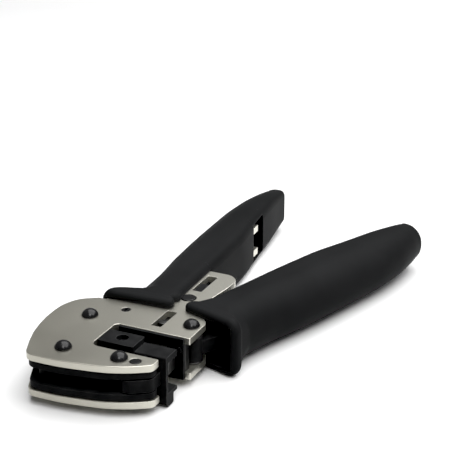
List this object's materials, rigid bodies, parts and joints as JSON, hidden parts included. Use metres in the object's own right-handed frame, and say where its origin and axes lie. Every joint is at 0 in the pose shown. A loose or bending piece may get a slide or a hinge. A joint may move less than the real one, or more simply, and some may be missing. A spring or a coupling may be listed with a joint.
{
  "type": "modular plug crimping tool",
  "caption": "Hand crimping tool for modular data plugs: riveted plate head with an open side nest, sliding ram, ratchet and black moulded handles.",
  "frame": {"origin": "on the plug seat of the nest, in the plates' mid plane", "axes": "+Y along the ram's travel from the nose towards the handles, +X towards the open side of the throat and the moving handle, +Z through the plates towards the face with the cross-slotted adjuster"},
  "size_m": [0.1067, 0.2047, 0.025],
  "materials": {
    "nickel_plated_steel": "satin nickel plating",
    "black_oxide_steel": "black oxide",
    "polished_black_steel": "polished black",
    "hardened_grey_steel": "ground and hardened",
    "spring_steel": "bright wire",
    "black_handle_plastic": "satin black moulding"
  },
  "bodies": {
    "frame": {"cheek_top": "nickel_plated_steel", "cheek_bottom": "nickel_plated_steel", "inner_plate_top": "black_oxide_steel", "inner_plate_bottom": "black_oxide_steel", "head_spacer": "black_oxide_steel", "tang_spacer": "nickel_plated_steel", "rivet_nose_left": "polished_black_steel", "rivet_head_left": "polished_black_steel", "rivet_anvil": "polished_black_steel", "lever_pivot_pin": "polished_black_steel", "nest_pin": "polished_black_steel", "pawl_pin": "polished_black_steel", "tang_rivet_1": "hardened_grey_steel", "tang_rivet_2": "hardened_grey_steel", "anvil_block": "black_oxide_steel", "anvil_screw": "polished_black_steel", "plug_nest": "black_oxide_steel", "nest_dowel": "polished_black_steel", "pawl_spring": "spring_steel", "pawl_spring_post": "hardened_grey_steel", "return_spring": "spring_steel", "fixed_handle": "black_handle_plastic"},
    "moving_arm": {"lever": "black_oxide_steel", "moving_handle": "black_handle_plastic", "ratchet_rack": "hardened_grey_steel", "rack_rivet_1": "hardened_grey_steel", "rack_rivet_2": "hardened_grey_steel", "pivot_washer_top": "hardened_grey_steel", "pivot_washer_bottom": "hardened_grey_steel"},
    "ram_slide_group": {"ram": "hardened_grey_steel", "ram_pin": "hardened_grey_steel", "die_plate": "black_oxide_steel", "die_screw_left": "polished_black_steel", "die_screw_right": "polished_black_steel", "contact_punch": "hardened_grey_steel", "strain_punch": "hardened_grey_steel"},
    "pawl_group": {"pawl": "hardened_grey_steel"},
    "release_group": {"release_slide": "black_oxide_steel"},
    "adjuster_group": {"depth_adjuster": "polished_black_steel"}
  },
  "joints": [
    {"name": "handle_close", "type": "hinge", "parent": "frame", "child": "moving_arm", "pos_m": [0.004, 0.0273, 0], "axis": [0, 0, 1], "range_deg": [0, 17], "stiffness_Nm_per_rad": 0.4, "springref_deg": -11.46},
    {"name": "ram_slide", "type": "slide", "parent": "frame", "child": "ram_slide_group", "axis": [0, -1, 0], "range_m": [0, 0.0036]},
    {"name": "pawl_swing", "type": "hinge", "parent": "frame", "child": "pawl_group", "pos_m": [-0.0086, 0.0498, 0], "axis": [0, 0, 1], "range_deg": [-25, 25], "stiffness_Nm_per_rad": 0.001},
    {"name": "release_push", "type": "slide", "parent": "frame", "child": "release_group", "axis": [0, 1, 0], "range_m": [0, 0.0036], "stiffness_N_per_m": 60},
    {"name": "adjuster_turn", "type": "hinge", "parent": "frame", "child": "adjuster_group", "pos_m": [-0.0264, 0.0294, 0], "axis": [0, 0, 1], "range_deg": [-150, 150]}
  ],
  "couplings": [
    {"joint": "ram_slide", "follows": "handle_close", "m_per_rad": 0.0121}
  ]
}
